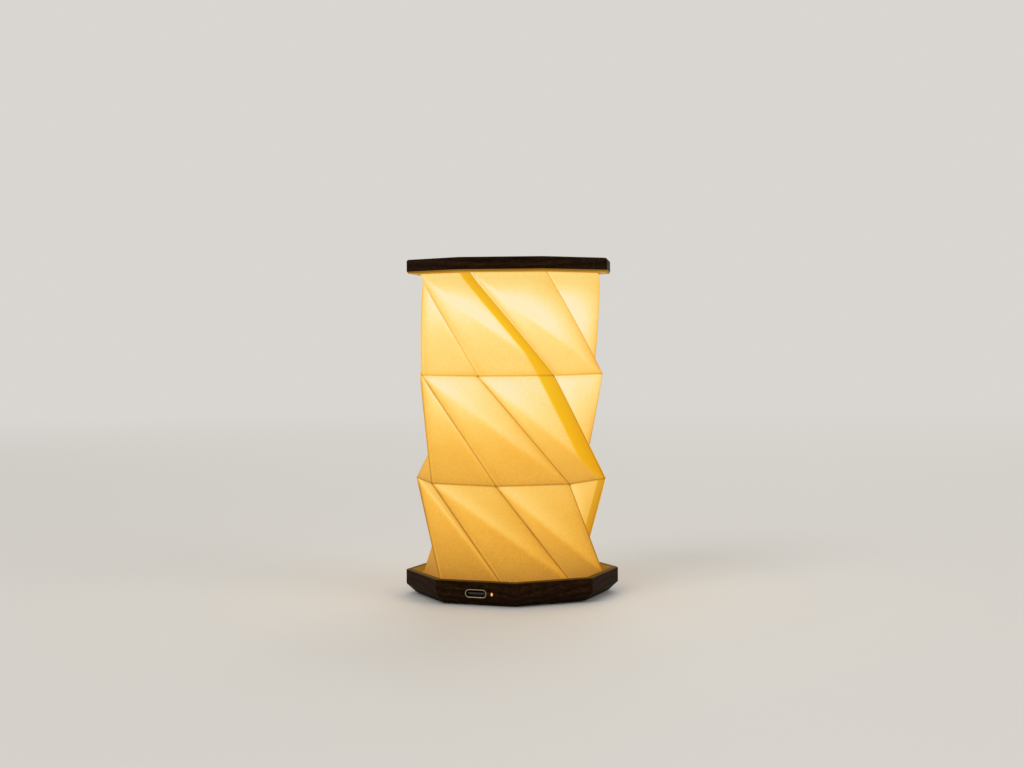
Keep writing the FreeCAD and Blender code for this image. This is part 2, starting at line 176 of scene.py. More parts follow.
# ---- rubber feet ------------------------------------------------------------------
# Four round pads of dark silicone, stuck in shallow seats of the cover. They lift
# the wood off the table by 0.6 mm and stop it from sliding.
silicone = material_of("moulded_grey_silicone")
place = put(silicone, "TexCoord").outputs["Object"]
dust = put(silicone, "TexNoise", {"Vector": place, "Scale": 1 / 0.0008, "Detail": 4.0,
                                  "Roughness": 0.7})
dusty = put(silicone, "ValToRGB", {"Fac": dust.outputs["Fac"]},
            stops=[(0.45, "#2b2b2c"), (0.62, "#323232"), (0.72, "#4a4947")])
matt = put(silicone, "MapRange", {"Value": dust.outputs["Fac"], "To Min": 0.6, "To Max": 0.85})
pad = put(silicone, "BsdfPrincipled", {"Base Color": dusty, "Roughness": matt, "IOR": 1.41})
put(silicone, "OutputMaterial", {"Surface": pad})
dress(silicone, "foot_pads")

# ---- screws -------------------------------------------------------------------------
# Four small cap screws of stainless steel with a hexagon socket hold the cover. Their
# heads lie flush in it.
turning = 0.0003              # tool marks, drawn 0.3 mm apart to show
steel = material_of("turned_stainless_steel")
place = put(steel, "TexCoord").outputs["Object"]
marks = put(steel, "TexNoise", {"Vector": place, "Scale": 1 / turning, "Detail": 2.0})
bright = put(steel, "ValToRGB", {"Fac": marks.outputs["Fac"]},
             stops=[(0.3, "#a8a49c"), (0.7, "#cdc9c2")])
rough = put(steel, "MapRange", {"Value": marks.outputs["Fac"], "To Min": 0.2, "To Max": 0.38})
screw = put(steel, "BsdfPrincipled", {"Base Color": bright, "Metallic": 1.0, "Roughness": rough})
put(steel, "OutputMaterial", {"Surface": screw})
dress(steel, "cover_screws")

# ---- charging socket ------------------------------------------------------------------
# A USB-C socket on the edge of the board, its mouth just behind the wood. The shell
# is folded from nickel-plated steel; the tongue is black plastic with gold contacts.
drawn_line = 0.0002           # lines of the drawing tool, 0.2 mm
plated = material_of("drawn_nickel_plated_steel")
place = put(plated, "TexCoord").outputs["Object"]
lines = put(plated, "Mapping", {"Vector": place, "Scale": (60.0, 60.0, 1 / drawn_line)})
lines = put(plated, "TexNoise", {"Vector": lines, "Scale": 1.0, "Detail": 3.0})
# The warm brown of the nickel is partly a painted reflection of the lamp's warm light.
nickel_with_warm_glow = put(plated, "ValToRGB", {"Fac": lines.outputs["Fac"]},
             stops=[(0.3, "#a08c6c"), (0.7, "#c2ad8a")])
rough = put(plated, "MapRange", {"Value": lines.outputs["Fac"], "To Min": 0.14, "To Max": 0.3})
edge = put(plated, "Bevel", {"Radius": 0.00012}, samples=4)
shell = put(plated, "BsdfPrincipled", {"Base Color": nickel_with_warm_glow, "Metallic": 1.0, "Roughness": rough,
                                       "Normal": edge})
put(plated, "OutputMaterial", {"Surface": shell})
dress(plated, "charging_socket_shell")

# Glass-filled nylon: dull black with short pale fibres just under the skin.
nylon = material_of("glass_filled_black_nylon")
place = put(nylon, "TexCoord").outputs["Object"]
fibres = put(nylon, "TexNoise", {"Vector": place, "Scale": 1 / 0.00015, "Detail": 2.0})
black = put(nylon, "ValToRGB", {"Fac": fibres.outputs["Fac"]},
            stops=[(0.45, "#101011"), (0.75, "#232324")])
dull = put(nylon, "MapRange", {"Value": fibres.outputs["Fac"], "To Min": 0.38, "To Max": 0.55})
part = put(nylon, "BsdfPrincipled", {"Base Color": black, "Roughness": dull, "IOR": 1.55})
put(nylon, "OutputMaterial", {"Surface": part})
dress(nylon, "charging_socket_tongue", "board_lead_socket", "light_lead_socket")

# ---- control board and indicator ----------------------------------------------------------
# The glass-epoxy board behind the socket charges the battery, switches the light and
# carries the indicator LED, whose clear pipe ends in the wood beside the socket.
trace = 0.0006                # copper tracks, 0.6 mm
board = material_of("green_solder_mask_on_glass_epoxy")
place = put(board, "TexCoord").outputs["Object"]
tracks = put(board, "TexVoronoi", {"Vector": place, "Scale": 1 / (4 * trace), "Randomness": 0.6},
             distance="MANHATTAN", feature="F2")
mask = put(board, "ValToRGB", {"Fac": tracks.outputs["Distance"]},
           stops=[(0.72, "#0d3a26"), (0.76, "#1b5a3a")])
gloss = put(board, "MapRange", {"Value": tracks.outputs["Distance"], "To Min": 0.22, "To Max": 0.36})
epoxy = put(board, "BsdfPrincipled", {"Base Color": mask, "Roughness": gloss, "IOR": 1.55})
put(board, "OutputMaterial", {"Surface": epoxy})
dress(board, "control_board")

# Moulded epoxy of the components: matt charcoal with a fine sandy texture.
moulding = material_of("moulded_charcoal_epoxy")
place = put(moulding, "TexCoord").outputs["Object"]
sand = put(moulding, "TexNoise", {"Vector": place, "Scale": 1 / 0.0002, "Detail": 3.0})
charcoal = put(moulding, "ValToRGB", {"Fac": sand.outputs["Fac"]},
               stops=[(0.35, "#1e1f21"), (0.7, "#2e3033")])
dull = put(moulding, "MapRange", {"Value": sand.outputs["Fac"], "To Min": 0.45, "To Max": 0.65})
part = put(moulding, "BsdfPrincipled", {"Base Color": charcoal, "Roughness": dull, "IOR": 1.55})
put(moulding, "OutputMaterial", {"Surface": part})
dress(moulding, "charging_chip", "converter_coil", "closing_sensor")

# Clear acrylic of the pipe: it carries the amber light of the LED, brightest in
# the middle of its end, which shows as a small glowing drop, taller than wide.
acrylic = material_of("polished_clear_acrylic")
face_turn, face_off_axis = math.radians(-21.1), 0.040
pipe_along_face, pipe_above_table, glow_radius = 0.0068, 0.0051, 0.00048
pipe_end = Vector((pipe_along_face * math.cos(face_turn) + face_off_axis * math.sin(face_turn),
                   pipe_along_face * math.sin(face_turn) - face_off_axis * math.cos(face_turn),
                   pipe_above_table))
place = put(acrylic, "TexCoord").outputs["Object"]
off_middle = put(acrylic, "VectorMath", {0: place, 1: pipe_end}, operation="SUBTRACT")
off_middle = put(acrylic, "VectorMath", {0: off_middle, 1: (1.0, 1.0, 0.6)}, operation="MULTIPLY")
off_middle = put(acrylic, "VectorMath", {0: off_middle}, operation="LENGTH").outputs["Value"]
core = put(acrylic, "MapRange", {"Value": off_middle, "From Min": glow_radius, "From Max": 0.0})
amber = put(acrylic, "ValToRGB", {"Fac": core},
            stops=[(0.02, "#2c1706"), (0.35, "#d08026"), (0.75, "#ffd080")])
pipe = put(acrylic, "BsdfPrincipled", {"Base Color": amber, "Roughness": 0.12, "IOR": 1.49,
                                       "Emission Color": amber, "Emission Strength": 0.9})
put(acrylic, "OutputMaterial", {"Surface": pipe})
dress(acrylic, "indicator_light_pipe")

# ---- battery --------------------------------------------------------------------------------
# A flat lithium pouch cell, wrapped in aluminium foil, that fills the rest of the
# pocket. The foil is matt silver with soft creases.
foil = material_of("creased_aluminium_foil")
place = put(foil, "TexCoord").outputs["Object"]
creases = put(foil, "TexNoise", {"Vector": place, "Scale": 1 / 0.006, "Detail": 5.0})
silver = put(foil, "ValToRGB", {"Fac": creases.outputs["Fac"]},
             stops=[(0.35, "#8f9295"), (0.65, "#c4c6c8")])
rough = put(foil, "MapRange", {"Value": creases.outputs["Fac"], "To Min": 0.3, "To Max": 0.5})
relief = put(foil, "Bump", {"Height": creases.outputs["Fac"], "Strength": 0.6, "Distance": 0.0004})
pouch = put(foil, "BsdfPrincipled", {"Base Color": silver, "Metallic": 1.0, "Roughness": rough,
                                     "Normal": relief})
put(foil, "OutputMaterial", {"Surface": pouch})
dress(foil, "battery")

# ---- closing magnets ------------------------------------------------------------------------------
# Four round magnets in each plate hold the lamp shut. They are plated with nickel,
# which is bright with a faint yellow cast, and stained here and there.
magnet = material_of("nickel_plated_magnet")
place = put(magnet, "TexCoord").outputs["Object"]
stain = put(magnet, "TexNoise", {"Vector": place, "Scale": 1 / 0.0015, "Detail": 3.0})
bright = put(magnet, "ValToRGB", {"Fac": stain.outputs["Fac"]},
             stops=[(0.35, "#b3ab9c"), (0.6, "#d5cfc3")])
rough = put(magnet, "MapRange", {"Value": stain.outputs["Fac"], "To Min": 0.32, "To Max": 0.16})
disc = put(magnet, "BsdfPrincipled", {"Base Color": bright, "Metallic": 1.0, "Roughness": rough})
put(magnet, "OutputMaterial", {"Surface": disc})
dress(magnet, "base_magnets", "top_magnets")

# ---- card of the recess ---------------------------------------------------------------------------
# The floor of the recess is stiff lining card. The foot of the shade is glued to it,
# and what shows beside the shade is painted golden, as if lit by the paper: a deep straw
# colour that also glows in emission.
fleck = 0.0007
card = material_of("uncoated_lining_card")
place = put(card, "TexCoord").outputs["Object"]
pulp = put(card, "TexNoise", {"Vector": place, "Scale": 1 / fleck, "Detail": 4.0, "Roughness": 0.6})
# Deep straw colour and glow: painted light from the paper on the card.
card_painted_glow = put(card, "ValToRGB", {"Fac": pulp.outputs["Fac"]},
            stops=[(0.3, "#986a18"), (0.7, "#b08028")])
relief = put(card, "Bump", {"Height": pulp.outputs["Fac"], "Strength": 0.3, "Distance": 0.00005})
sheet = put(card, "BsdfPrincipled", {"Base Color": card_painted_glow, "Roughness": 0.85, "IOR": 1.45,
                                     "Normal": relief, "Emission Color": card_painted_glow,
                                     "Emission Strength": 0.42})
put(card, "OutputMaterial", {"Surface": sheet})
dress(card, "recess_floor", "shade_ceiling")
dress(silicone, "lead_grommet")

# ---- pleated shade -----------------------------------------------------------------------------------
# One sheet of translucent mulberry paper, creased into eight panels round and three
# stories high. Sharp creases run down from corner to corner, level creases part the
# stories, and each panel sinks along a soft valley. Flaps at head and foot are glued
# to the card; a lap closes the upright seam. The light under the top plate is stronger
# near the top, and on the parts of a panel that face it.
sides = 8
ring_heights = [0.1296, 0.0893, 0.0467, 0.0080]      # rings of creases, from the head down
ring_radii = [0.0384, 0.0392, 0.0389, 0.0370]
ring_shift = [-0.0003, -0.0005, -0.0006, 0.0003]     # to the right, as the hand folded it
belly = [0.0009, 0.0002, 0.0]                        # how far each story bows out
ring_turns = [math.radians(turn) for turn in (-67.9, -18.5, 36.8, 83.2)]
paper_thickness = 0.00025
valley = 0.055                # half width of the soft valley, as a share of a panel
panel_steps = 18              # squares along each side of a panel
flap_width, flap_mitre = 0.005, 0.0032
lap_width = 0.0066
seam_panel = 0                # the panel that lies over the lap, its far side on the seam
cut_edge = 0.0011             # the sheet's cut edge passes the seam by this much
cut_edge_shine = [0.03, 0.09, 0.09]  # light that the cut edge catches, by story
cut_edge_shadow = 1.5               # how dark the painted shadow along the cut edge is
dent = 0.00012                # how far the paper wanders from its folded shape
valley_shine = [0.02, 0.09, 0.17]    # light gathered along the valleys, by story
shine_below = [0.05, 0.12, 0.07]     # how far it spreads below the valley, as a share
lower_shine = [0.05, 0.16, 0.14]     # light sent back into the lower half of a panel
upper_shine = [0.04, 0.09, 0.07]     # light gathered below each ring
under_plate_shine, under_plate_reach = 0.45, 0.007    # light gathered under the top plate
crease_darkness = [0.5, 0.9, 1.0]          # how dark the creases are, by story
window_radius, window_height = 0.020, 0.1299     # the opal window that the light comes from
plate_radius, ceiling_height, floor_height = 0.035, 0.1298, 0.0077
paper_passes, card_passes = 0.75, 0.5            # share of its light that each passes on
stray_light, straight_gain, reflected_gain = 0.03, 2.45, 4.9
clear = 0.02                  # a distance that is clear of every crease


def corner(ring, number):
    turn = ring_turns[ring] + number * math.tau / sides
    radius = ring_radii[ring]
    return np.array([radius * math.sin(turn) + ring_shift[ring], -radius * math.cos(turn),
                     ring_heights[ring]])


def folded(story, number, across, down):
    """Where a point of a panel lies, across from its sharp crease and down from its upper ring."""
    upper, upper_next = corner(story, number), corner(story, number + 1)
    lower, lower_next = corner(story + 1, number), corner(story + 1, number + 1)
    across, down = across[..., None], down[..., None]
    middle = (across + down) / 2
    soft = np.maximum(valley * 4 * middle * (1 - middle), 1e-6)
    side = across - down
    sunk = np.clip((side + soft) ** 2 / (4 * soft), 0, None)
    sunk = np.where(side > soft, side, np.where(side < -soft, 0, sunk))
    fold = (upper_next - upper) - (lower_next - lower)
    point = upper + down * (lower - upper) + across * (lower_next - lower) + sunk * fold
    out = point * [1, 1, 0] / np.linalg.norm(point[..., :2], axis=-1, keepdims=True)
    return point + out * belly[story] * np.clip(6.75 * down * (1 - down) ** 2, 0, 1) ** 0.4


def panel_grid(steps):
    share = np.linspace(0, 1, steps + 1)
    return np.meshgrid(share, share)


def facing_in(points):
    """Directions from a grid of points of the paper towards the inside of the shade."""
    normal = np.cross(np.gradient(points, axis=1), np.gradient(points, axis=0))
    normal /= np.linalg.norm(normal, axis=-1, keepdims=True)
    outward = points * [1, 1, 0]
    return np.where((normal * outward).sum(-1, keepdims=True) > 0, -normal, normal)


def received(at, facing, source, source_facing, source_area):
    """Share of the light of each source patch that reaches each point."""
    way = source[None] - at[:, None]
    reach = (way ** 2).sum(-1) + 0.5 * source_area
    here = np.maximum((way * facing[:, None]).sum(-1), 0)
    there = np.maximum(-(way * source_facing[None]).sum(-1), 0)
    return here * there * source_area / (math.pi * reach ** 2)


def disc_patches(radius, height, facing, circles, spokes):
    """Points, directions and areas that stand for a round face."""
    distance = radius * (np.arange(circles) + 0.5) / circles
    distance, turn = np.meshgrid(distance, math.tau * (np.arange(spokes) + 0.5) / spokes)
    points = np.stack([distance * np.cos(turn), distance * np.sin(turn),
                       np.full(distance.shape, height)], -1).reshape(-1, 3)
    area = (math.tau * distance * radius / circles / spokes).reshape(-1)
    return points, np.tile([0.0, 0.0, facing], (len(points), 1)), area


# Light is worked out once on coarse patches, which pass it on to each other inside
# the shade, and then for each point of one panel of each story.
coarse = 7
middles = (np.arange(coarse) + 0.5) / coarse
across, down = np.meshgrid(middles, middles)
patches, facings, areas = [], [], []
for story in range(3):
    for number in range(sides):
        points = folded(story, number, across, down)
        step_across = folded(story, number, across + 0.01, down) - points
        step_down = folded(story, number, across, down + 0.01) - points
        area = np.linalg.norm(np.cross(step_across, step_down), axis=-1) * 1e4 / coarse ** 2
        patches.append(points.reshape(-1, 3))
        facings.append(facing_in(points).reshape(-1, 3))
        areas.append(area.reshape(-1))
paper_patches = len(patches) * coarse ** 2
for height, facing in ((ceiling_height, -1.0), (floor_height, 1.0)):
    disc = disc_patches(plate_radius, height, facing, 4, 16)
    for group, values in zip((patches, facings, areas), disc):
        group.append(values)
patches, facings, areas = np.vstack(patches), np.vstack(facings), np.concatenate(areas)
lamp, lamp_facing, lamp_area = disc_patches(window_radius, window_height, -1.0, 5, 16)
passed_on = np.where(np.arange(len(patches)) < paper_patches, paper_passes, card_passes)
direct = received(patches, facings, lamp, lamp_facing, lamp_area).sum(-1)
between = received(patches, facings, patches, facings, areas)
arriving = direct.copy()
for bounce in range(12):
    arriving = direct + between @ (passed_on * arriving)


def panel_light(story):
    """Light that shows through one panel of a story."""
    points = folded(story, 0, *panel_grid(panel_steps))
    facing = facing_in(points).reshape(-1, 3)
    points = points.reshape(-1, 3)
    straight = received(points, facing, lamp, lamp_facing, lamp_area).sum(-1)
    reflected = received(points, facing, patches, facings, areas) @ (passed_on * arriving)
    light = (stray_light + straight_gain * straight + reflected_gain * reflected)
    below_head = ring_heights[0] - points[:, 2]
    light += under_plate_shine * np.exp(-below_head / under_plate_reach)
    light = light.reshape(panel_steps + 1, panel_steps + 1)
    across, down = panel_grid(panel_steps)
    side = across - down
    along = np.clip((across + down) / 2, 0, 1)
    fading = np.sin(math.pi * along ** 0.7)
    fading += 0.6 * np.exp(-((1 - along) / 0.15) ** 2) + 0.8 * np.exp(-(along / 0.10) ** 2)
    streak = np.exp(-((side - 0.05) / np.where(side < 0.05, shine_below[story], 0.28)) ** 2)
    lower_half = np.clip(0.5 - side / 0.12, 0, 1)
    return (light + valley_shine[story] * fading * streak
            + lower_shine[story] * (1 - down ** 2) * lower_half
            + upper_shine[story] * (1 - down) ** 1.5)


verts, faces, corners_light, corners_across, corners_down = [], [], [], [], []
columns, rows = sides * panel_steps, 3 * panel_steps
for row in range(rows + 1):
    story = min(row // panel_steps, 2)
    step = row - story * panel_steps
    for column in range(columns):
        number, share = divmod(column, panel_steps)
        point = folded(story, number, np.array(share / panel_steps), np.array(step / panel_steps))
        from_crease = min(share, panel_steps - share) / panel_steps
        from_ring = min(step, panel_steps - step) / panel_steps
        loose = min(1.0, 5 * from_crease) * min(1.0, 5 * from_ring)
        out = Vector((point[0], point[1], 0)).normalized()
        wander = noise.noise(Vector(point) / 0.014) * dent * loose
        verts.append(Vector(point) + out * wander)

panel_lights = [panel_light(story) for story in range(3)]
for row in range(rows):
    story, step = divmod(row, panel_steps)
    drop = ring_heights[story] - ring_heights[story + 1]
    chords = [2 * ring_radii[ring] * math.sin(math.pi / sides) for ring in (story, story + 1)]
    for column in range(columns):
        number, share = divmod(column, panel_steps)
        after = (column + 1) % columns
        here = [(row, column, step, share), (row, after, step, share + 1),
                (row + 1, after, step + 1, share + 1), (row + 1, column, step + 1, share)]
        for a, b, c in ((0, 1, 2), (0, 2, 3)):
            faces.append([here[i][0] * columns + here[i][1] for i in (c, b, a)])
            for i in (c, b, a):
                fall, way = here[i][2] / panel_steps, here[i][3] / panel_steps
                chord = chords[0] * (1 - fall) + chords[1] * fall
                to_seam = (1 - way) * chord if number == seam_panel else clear
                corners_light.append(panel_lights[story][here[i][2], here[i][3]])
                corners_across.append((way * chord, (1 - way) * chord, to_seam))
                corners_down.append((fall * drop, (1 - fall) * drop, crease_darkness[story]))


def glue_flaps(ring, row):
    """Sixteen flaps turned in at head and foot, each with mitred ends."""
    for number in range(sides):
        start, end = Vector(corner(ring, number)), Vector(corner(ring, number + 1))
        inward = -((start + end) * Vector((1, 1, 0))).normalized() * flap_width
        mitre = (end - start).normalized() * flap_mitre
        rim = [row * columns + (number * panel_steps + i) % columns for i in range(panel_steps + 1)]
        verts.extend([end + inward - mitre, start + inward + mitre])
        flap = rim + [len(verts) - 2, len(verts) - 1]
        faces.append(flap if row == 0 else flap[::-1])
        corners_light.extend([0.5] * len(flap))
        corners_across.extend([(clear, clear, clear)] * len(flap))
        corners_down.extend([(clear, clear, 0.0)] * len(flap))


glue_flaps(0, 0)
glue_flaps(3, rows)


def seam_ribbon(number, shares, out_by, from_edge):
    """A strip of the sheet along the seam, one layer above or below a panel."""
    for row in range(rows + 1):
        story = min(row // panel_steps, 2)
        fall = (row - story * panel_steps) / panel_steps
        for share in shares:
            point = Vector(folded(story, number, np.array(share), np.array(fall)))
            out = Vector((point.x, point.y, 0)).normalized()
            verts.append(point + out * out_by)
        if row:
            width = len(shares)
            story, step = divmod(row - 1, panel_steps)
            above, below = panel_lights[story][step:step + 2, 1] + cut_edge_shine[story]
            for i in range(width - 1):
                first = len(verts) - 2 * width + i
                faces.append([first, first + width, first + width + 1, first + 1])
                corners_light.extend([above, below, below, above])
                corners_across.extend([(clear, from_edge[i + step], clear) for step in (0, 0, 1, 1)])
                corners_down.extend([(clear, clear, cut_edge_shadow)] * 4)


# The lap lies inside the panel before the seam. The cut edge of the sheet stands up
# by its own thickness just past the seam, with a thin painted shadow along it: distances
# are drawn out there, so that the shadow stays narrow.
chord = 2 * math.sin(math.pi / sides) * ring_radii[1]
lap_shares = [1 - lap_width / chord * (4 - i) / 4 for i in range(5)]
seam_ribbon(seam_panel, lap_shares, -1.3 * paper_thickness, [clear] * 5)
seam_ribbon(seam_panel + 1, [0.0, cut_edge / chord], 1.1 * paper_thickness, [2.4 * cut_edge, 0.0])

mesh = bpy.data.meshes.new("folded_sheet")
mesh.from_pydata(verts, [], faces)
mesh.update()
for name, kind, field, values in (("light", "FLOAT", "value", corners_light),
                                  ("across", "FLOAT_VECTOR", "vector", corners_across),
                                  ("down", "FLOAT_VECTOR", "vector", corners_down)):
    attribute = mesh.attributes.new(name, kind, "CORNER")
    attribute.data.foreach_set(field, np.array(values, dtype=np.float32).reshape(-1))
mesh.shade_smooth()
for crease in mesh.edges:
    a, b = crease.vertices
    if max(a, b) < (rows + 1) * columns:
        upright = a % columns == b % columns and a % panel_steps == 0
        level = a // columns == b // columns and (a // columns) % panel_steps == 0
        crease.use_edge_sharp = upright or level
    else:
        crease.use_edge_sharp = True
shade = bpy.data.objects.new("paper_shade", mesh)
bpy.context.collection.objects.link(shade)
thick = shade.modifiers.new("paper", "SOLIDIFY")
thick.thickness = paper_thickness
thick.offset = -1.0
thick.use_even_offset = False
shade.data = bpy.data.meshes.new_from_object(shade.evaluated_get(
    bpy.context.evaluated_depsgraph_get()))
shade.modifiers.clear()

# Mulberry paper, pressed and lit from behind: amber where little light comes through,
# cream where much does, with long soft fibres. The creases are bruised brown, with painted
# shade that darkens and widens them in places, and have a painted bright line beside
# them, and the glued lap is deep amber.
fibre_width, fibre_length = 0.0006, 0.006
mottle_width, mottle_height = 0.00045, 0.0011
paper = material_of("mulberry_paper_lit_from_behind")
place = put(paper, "TexCoord").outputs["Object"]
light = put(paper, "Attribute", attribute_name="light").outputs["Fac"]
across = put(paper, "SeparateXYZ", {"Vector": put(paper, "Attribute", attribute_name="across")
                                    .outputs["Vector"]})
down = put(paper, "SeparateXYZ", {"Vector": put(paper, "Attribute", attribute_name="down")
                                  .outputs["Vector"]})
fibres = put(paper, "Mapping", {"Vector": place, "Scale": (1 / fibre_width, 1 / fibre_width,
                                                           1 / fibre_length)})
fibres = put(paper, "TexNoise", {"Vector": fibres, "Scale": 1.0, "Detail": 3.0,
                                 "Distortion": 0.6}).outputs["Fac"]
mottle = put(paper, "Mapping", {"Vector": place, "Scale": (1 / mottle_width, 1 / mottle_width,
                                                          1 / mottle_height)})
mottle = put(paper, "TexNoise", {"Vector": mottle, "Scale": 1.0, "Detail": 1.0}).outputs["Fac"]
cloud = put(paper, "TexNoise", {"Vector": place, "Scale": 1 / 0.009, "Detail": 3.0}).outputs["Fac"]

# Marks on the sheet, partly its own and partly painted light and shade. Each is 1 up to
# the first distance from a fold and 0 from the second on. Below each ring the creases are
# drawn wider, as painted shade under the ring.
shadowed_crease_width = put(paper, "MapRange", {"Value": down.outputs["X"], "From Min": 0.018, "From Max": 0.002,
                                      "To Min": 1.0, "To Max": 0.6})
off_crease = put(paper, "Math", {0: across.outputs["X"], 1: shadowed_crease_width}, operation="MULTIPLY")
before, after = across.outputs["X"], across.outputs["Y"]
ring_above, ring_below = down.outputs["X"], down.outputs["Y"]
marks = {}
for name, distance, full, none in (
        ("crease", off_crease, 0.0001, 0.0011), ("next_crease", after, 0.0001, 0.0008),
        ("crease_side", before, 0.0012, 0.002), ("lower_part", ring_below, 0.006, 0.026),
        ("next_crease_side", after, 0.0008, 0.003),
        ("upper_ring", ring_above, 0.00005, 0.0005), ("lower_ring", ring_below, 0.0001, 0.0008),
        ("corner_side", before, 0.0, 0.0014), ("corner_next_side", after, 0.0, 0.0014),
        ("corner_top", ring_above, 0.0, 0.0010), ("corner_foot", ring_below, 0.0, 0.0010),
        ("lap", across.outputs["Z"], lap_width - 0.0009, lap_width + 0.0007)):
    marks[name] = put(paper, "MapRange", {"Value": distance, "From Min": full, "From Max": none,
                                          "To Min": 1.0, "To Max": 0.0},
                      interpolation_type="SMOOTHSTEP")
marks["wear"] = put(paper, "MapRange", {"Value": cloud, "To Min": 0.3, "To Max": 1.6})
marks["story_crease_darkness"] = down.outputs["Z"]
marks["lower_stories"] = put(paper, "MapRange", {"Value": down.outputs["Z"], "From Min": 0.5})
# The pucker mark below is painted shade beside each corner.
for name, first, second, operation in (
        ("crease_darkening", "story_crease_darkness", "wear", "MULTIPLY"),
        ("creases", "crease", "next_crease", "MAXIMUM"),
        ("bruise_and_shade", "creases", "crease_darkening", "MULTIPLY"),
        ("fold_light", "crease_side", "lower_part", "MULTIPLY"),
        ("painted_shade_before_crease", "next_crease_side", "lower_stories", "MULTIPLY"),
        ("level_crease", "upper_ring", "lower_ring", "MAXIMUM"),
        ("beside_crease", "corner_side", "corner_next_side", "MAXIMUM"),
        ("beside_ring", "corner_top", "corner_foot", "MAXIMUM"),
        ("pucker_shade", "beside_crease", "beside_ring", "MULTIPLY")):
    marks[name] = put(paper, "Math", {0: marks[first], 1: marks[second]}, operation=operation)
lap, bruise_and_shade = marks["lap"], marks["bruise_and_shade"]

# How much light shows: what arrives, the grain of the paper and the folds, less in the
# two layers of the lap, and least on the creases. Painted shade darkens the puckers at the
# corners and the side of a panel before the next crease.
amount = light
# A little painted shade falls on the side of each panel before the next crease.
for layer, share in ((fibres, 0.16), (mottle, 0.14), (cloud, 0.05), (marks["fold_light"], 0.07),
                     (marks["painted_shade_before_crease"], -0.03)):
    amount = put(paper, "Math", {0: layer, 1: share, 2: amount}, operation="MULTIPLY_ADD")
amount = put(paper, "Math", {0: amount, 1: 0.175}, operation="SUBTRACT")
double = put(paper, "Math", {0: amount, 1: 0.3, 2: 0.21}, operation="MULTIPLY_ADD")
off_seam = put(paper, "MapRange", {"Value": across.outputs["Z"], "From Max": lap_width})
lowest_story = put(paper, "MapRange", {"Value": down.outputs["Z"], "From Min": 0.9})
for layer, share in ((off_seam, 0.09), (lowest_story, -0.1)):
    double = put(paper, "Math", {0: layer, 1: share, 2: double}, operation="MULTIPLY_ADD")
amount = put(paper, "Mix", {"Factor": lap, "A": amount, "B": double})
# The creases darken here: bruised paper with painted shade.
for layer, share in ((bruise_and_shade, -0.21), (marks["level_crease"], -0.17), (marks["pucker_shade"], -0.12)):
    amount = put(paper, "Math", {0: layer, 1: share, 2: amount}, operation="MULTIPLY_ADD")
glow = put(paper, "ValToRGB", {"Fac": amount}, stops=[
    (0.10, "#9c6212"), (0.26, "#c88c22"), (0.36, "#e1a132"), (0.46, "#f0b440"), (0.60, "#fdcb62"),
    (0.68, "#fed778"), (0.78, "#fee48e"), (0.86, "#feeda9"), (0.95, "#fef5cc")])
double_glow = put(paper, "Mix", {"Factor": 1.0, "A": glow, "B": linear("#fffd48")},
                  data_type="RGBA", blend_type="MULTIPLY")
glow = put(paper, "Mix", {"Factor": lap, "A": glow, "B": double_glow}, data_type="RGBA")
surface = put(paper, "Mix", {"Factor": lap, "A": linear("#8b6b2a"), "B": linear("#8b6a0c")},
              data_type="RGBA")
surface = put(paper, "Mix", {"Factor": bruise_and_shade, "A": surface, "B": linear("#744c1a")},
              data_type="RGBA")
relief = put(paper, "Bump", {"Height": fibres, "Strength": 0.4, "Distance": 0.00005})
washi = put(paper, "BsdfPrincipled", {"Base Color": surface, "Roughness": 0.85, "IOR": 1.47,
                                      "Normal": relief, "Emission Color": glow,
                                      "Emission Strength": 0.8})
put(paper, "OutputMaterial", {"Surface": washi})
shade.data.materials.clear()
shade.data.materials.append(paper)
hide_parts("pleated_shade")
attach(shade, "base")
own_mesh(shade)

# ---- top plate -------------------------------------------------------------------------------------
# The walnut lid of the lamp, cut and oiled like the tray. Its upper edge is rounded,
# its lower edge has a small bevel, and the light unit is let into it from below.
dress(walnut, "top_plate")

# ---- light unit --------------------------------------------------------------------------------------
# Twelve LEDs on a white aluminium board shine down through an opal disc that fills
# the window of the card ceiling.
opal = material_of("opal_acrylic_lit_from_above")
place = put(opal, "TexCoord").outputs["Object"]
led_ring = put(opal, "VectorMath", {0: place, 1: (1.0, 1.0, 0.0)}, operation="MULTIPLY")
led_ring = put(opal, "VectorMath", {0: led_ring}, operation="LENGTH").outputs["Value"]
hot = put(opal, "MapRange", {"Value": led_ring, "From Min": 0.020, "From Max": 0.012})
warm = put(opal, "ValToRGB", {"Fac": hot}, stops=[(0.0, "#ffd38a"), (1.0, "#fff3d6")])
disc = put(opal, "BsdfPrincipled", {"Base Color": linear("#e9e4da"), "Roughness": 0.5, "IOR": 1.49,
                                    "Emission Color": warm, "Emission Strength": 1.0})
put(opal, "OutputMaterial", {"Surface": disc})
dress(opal, "light_diffuser")

# White enamel of the light board: glossy, with a slight orange-peel surface.
enamel = material_of("white_enamelled_aluminium")
place = put(enamel, "TexCoord").outputs["Object"]
peel = put(enamel, "TexNoise", {"Vector": place, "Scale": 1 / 0.0015, "Detail": 1.0})
white = put(enamel, "ValToRGB", {"Fac": peel.outputs["Fac"]}, stops=[(0.3, "#e2e0da"), (0.7, "#efede8")])
relief = put(enamel, "Bump", {"Height": peel.outputs["Fac"], "Strength": 0.2, "Distance": 0.00003})
coat = put(enamel, "BsdfPrincipled", {"Base Color": white, "Roughness": 0.3, "IOR": 1.5,
                                      "Normal": relief})
put(enamel, "OutputMaterial", {"Surface": coat})
dress(enamel, "light_board")

